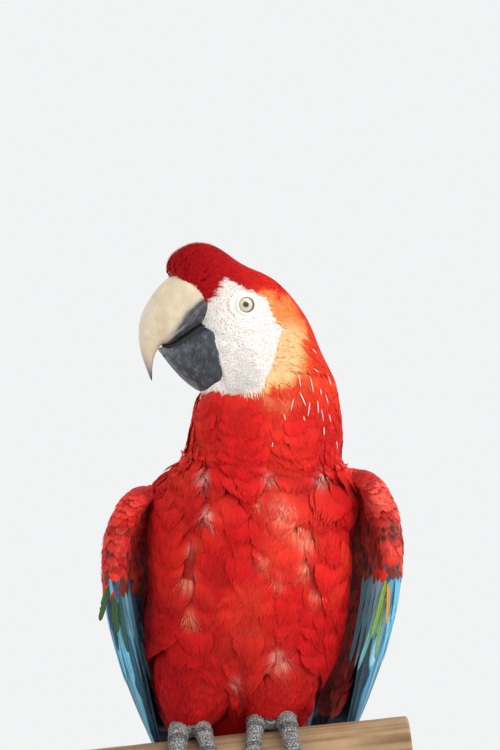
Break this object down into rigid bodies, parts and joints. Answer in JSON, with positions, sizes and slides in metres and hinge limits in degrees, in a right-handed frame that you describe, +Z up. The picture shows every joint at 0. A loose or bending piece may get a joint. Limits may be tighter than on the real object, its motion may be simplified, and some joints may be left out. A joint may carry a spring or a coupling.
{
  "type": "scarlet macaw figure",
  "caption": "Life-size scarlet macaw gripping a short round wooden perch, head turned to its right, wings folded, long tail hanging, held by a flat round base and a rod.",
  "frame": {"origin": "middle of the underside of the stand's base, on the floor", "axes": "+Z up; the breast faces -Y; the bird's left side is +X and its head is turned towards -X"},
  "size_m": [0.264, 0.3476, 0.8009],
  "materials": {
    "feathers_red": "matte layered feathers",
    "feathers_blue": "matte layered flight feathers",
    "bill_upper": "satin horn",
    "bill_lower": "satin dark horn",
    "eye": "wet gloss",
    "foot_skin": "scaly skin",
    "claw": "satin dark horn",
    "perch_wood": "bare smoothed branch",
    "rod": "brushed",
    "base": "satin paint"
  },
  "bodies": {
    "root": {"head": "feathers_red", "neck": "feathers_red", "trunk": "feathers_red", "bill_upper": "bill_upper", "bill_lower": "bill_lower", "eye_left": "eye", "eye_right": "eye", "tail": "feathers_red", "wing_left_coverts": "feathers_red", "wing_left_flight": "feathers_blue", "thigh_left": "feathers_red", "foot_left": "foot_skin", "toe_left_1": "foot_skin", "claw_left_1": "claw", "toe_left_2": "foot_skin", "claw_left_2": "claw", "toe_left_3": "foot_skin", "claw_left_3": "claw", "toe_left_4": "foot_skin", "claw_left_4": "claw", "wing_right_coverts": "feathers_red", "wing_right_flight": "feathers_blue", "thigh_right": "feathers_red", "foot_right": "foot_skin", "toe_right_1": "foot_skin", "claw_right_1": "claw", "toe_right_2": "foot_skin", "claw_right_2": "claw", "toe_right_3": "foot_skin", "claw_right_3": "claw", "toe_right_4": "foot_skin", "claw_right_4": "claw", "perch": "perch_wood", "stand_rod": "rod", "stand_base": "base"}
  },
  "joints": []
}
